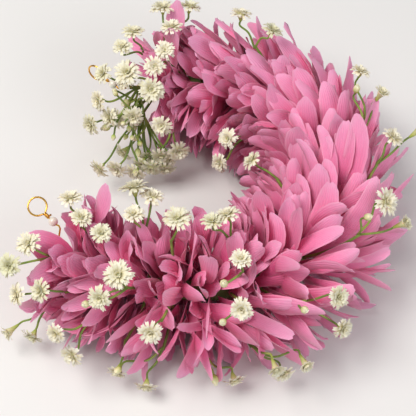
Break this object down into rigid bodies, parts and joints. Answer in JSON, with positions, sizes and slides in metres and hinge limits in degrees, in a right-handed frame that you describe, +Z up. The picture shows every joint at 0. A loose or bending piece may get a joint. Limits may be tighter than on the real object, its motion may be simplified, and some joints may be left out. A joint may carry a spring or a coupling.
{
  "type": "flower hair garland",
  "caption": "C-shaped garland of pink petal whorls and cream gypsophila sprigs on a taped cord, with a gold wire loop and a pearl bead at each end, to wrap round a hair bun",
  "frame": {"origin": "on the table, under the middle of the garland's bounding box", "axes": "+Z up off the table, the open ring lies in XY with its mouth towards -X, the end with the first loop towards -Y"},
  "size_m": [0.175, 0.1694, 0.0664],
  "materials": {
    "pink_petal": "soft satin petal, deep pink at the base and pale at the tip",
    "gypsophila": "matt cream petals on fresh green stems",
    "taped_cord": "matt green floral tape over cotton thread",
    "gold_wire": "polished gold-coloured wire",
    "pearl": "glossy pearl"
  },
  "bodies": {
    "root": {"core_cord": "taped_cord", "end_sprig_01": "gypsophila", "end_sprig_02": "gypsophila", "end_sprig_03": "gypsophila", "first_loop_wire": "gold_wire", "first_pearl_bead": "pearl", "gypsophila_sprig_01": "gypsophila", "gypsophila_sprig_02": "gypsophila", "gypsophila_sprig_03": "gypsophila", "gypsophila_sprig_04": "gypsophila", "gypsophila_sprig_05": "gypsophila", "gypsophila_sprig_06": "gypsophila", "gypsophila_sprig_07": "gypsophila", "gypsophila_sprig_08": "gypsophila", "gypsophila_sprig_09": "gypsophila", "gypsophila_sprig_10": "gypsophila", "gypsophila_sprig_11": "gypsophila", "gypsophila_sprig_12": "gypsophila", "gypsophila_sprig_13": "gypsophila", "gypsophila_sprig_14": "gypsophila", "gypsophila_sprig_15": "gypsophila", "gypsophila_sprig_16": "gypsophila", "gypsophila_sprig_17": "gypsophila", "gypsophila_sprig_18": "gypsophila", "gypsophila_sprig_19": "gypsophila", "gypsophila_sprig_20": "gypsophila", "gypsophila_sprig_21": "gypsophila", "gypsophila_sprig_22": "gypsophila", "gypsophila_sprig_23": "gypsophila", "gypsophila_sprig_24": "gypsophila", "gypsophila_sprig_25": "gypsophila", "gypsophila_sprig_26": "gypsophila", "gypsophila_sprig_27": "gypsophila", "gypsophila_sprig_28": "gypsophila", "last_loop_wire": "gold_wire", "last_pearl_bead": "pearl", "petal_whorl_01": "pink_petal", "petal_whorl_02": "pink_petal", "petal_whorl_03": "pink_petal", "petal_whorl_04": "pink_petal", "petal_whorl_05": "pink_petal", "petal_whorl_06": "pink_petal", "petal_whorl_07": "pink_petal", "petal_whorl_08": "pink_petal", "petal_whorl_09": "pink_petal", "petal_whorl_10": "pink_petal", "petal_whorl_11": "pink_petal", "petal_whorl_12": "pink_petal", "petal_whorl_13": "pink_petal", "petal_whorl_14": "pink_petal", "petal_whorl_15": "pink_petal", "petal_whorl_16": "pink_petal", "petal_whorl_17": "pink_petal", "petal_whorl_18": "pink_petal", "petal_whorl_19": "pink_petal", "petal_whorl_20": "pink_petal", "petal_whorl_21": "pink_petal", "petal_whorl_22": "pink_petal", "petal_whorl_23": "pink_petal"}
  },
  "joints": []
}
